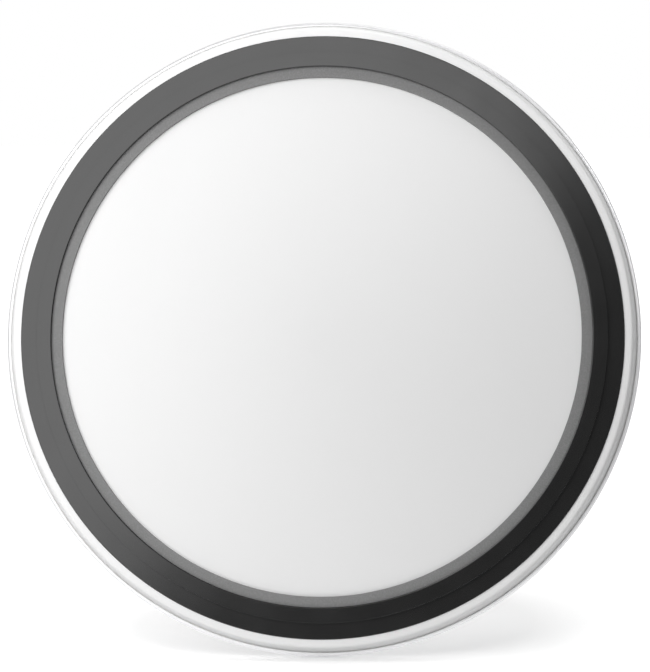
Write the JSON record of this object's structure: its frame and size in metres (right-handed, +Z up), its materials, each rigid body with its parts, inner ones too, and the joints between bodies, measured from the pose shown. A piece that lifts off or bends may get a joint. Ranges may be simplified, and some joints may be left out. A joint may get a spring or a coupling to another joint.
{
  "type": "bass drum head",
  "caption": "Round white bass drum head: coated film with a formed collar set in an aluminium hoop, with a black pocket ring that holds a removable grey foam damping ring.",
  "frame": {"origin": "centre of the film's back face, the plane that lies on the drum shell's bearing edge", "axes": "+Y along the head's axis into the drum, -Y towards the player, +Z up, +X to the right as the player sees it"},
  "size_m": [0.5715, 0.029, 0.5716],
  "materials": {
    "film": "satin white coat on polyester film",
    "hoop": "satin, as rolled",
    "resin": "cast, pale and glossy",
    "tape": "thin white adhesive film",
    "pocket": "semi-gloss black",
    "foam": "open-cell grey foam"
  },
  "bodies": {
    "head": {"hoop": "hoop", "film": "film", "resin": "resin", "tape_ring": "tape", "pocket_ring": "pocket"},
    "foam": {"foam_ring": "foam"}
  },
  "joints": [
    {"name": "foam_out", "type": "slide", "parent": "head", "child": "foam", "axis": [0, -1, 0], "range_m": [0, 0.05], "deforming": ["foam_ring"]}
  ]
}
